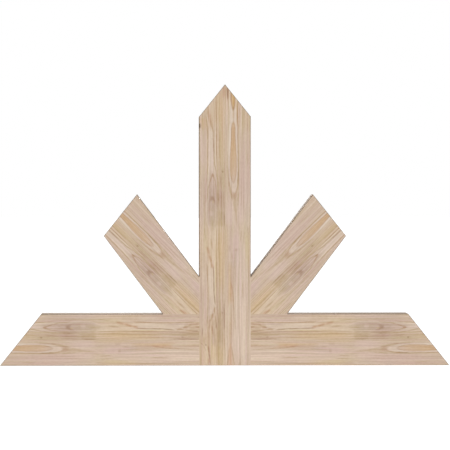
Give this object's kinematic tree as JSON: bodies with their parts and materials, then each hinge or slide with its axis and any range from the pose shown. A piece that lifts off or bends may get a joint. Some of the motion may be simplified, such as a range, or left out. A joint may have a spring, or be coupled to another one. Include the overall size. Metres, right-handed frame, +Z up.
{
  "type": "decorative gable truss",
  "caption": "Decorative timber gable truss: pointed king post, butted bottom beams and raking struts, their ends cut to the roof pitch and joined flush by blind dowels.",
  "frame": {"origin": "middle of the underside, midway between front and back", "axes": "+Z up to the ridge, +X along the span to the right as seen from the front, +Y from the front face to the back"},
  "size_m": [1.2192, 0.0888, 0.762],
  "materials": {
    "timber": "smooth planed softwood, unfinished",
    "dowel": "turned hardwood, unfinished"
  },
  "bodies": {
    "root": {"king_post_left_stave": "timber", "king_post_right_stave": "timber", "left_beam_upper_stave": "timber", "left_beam_lower_stave": "timber", "left_strut_upper_stave": "timber", "left_strut_lower_stave": "timber", "right_beam_upper_stave": "timber", "right_beam_lower_stave": "timber", "right_strut_upper_stave": "timber", "right_strut_lower_stave": "timber", "left_beam_dowels": "dowel", "left_strut_post_dowel": "dowel", "left_strut_beam_dowel": "dowel", "right_beam_dowels": "dowel", "right_strut_post_dowel": "dowel", "right_strut_beam_dowel": "dowel"}
  },
  "joints": []
}
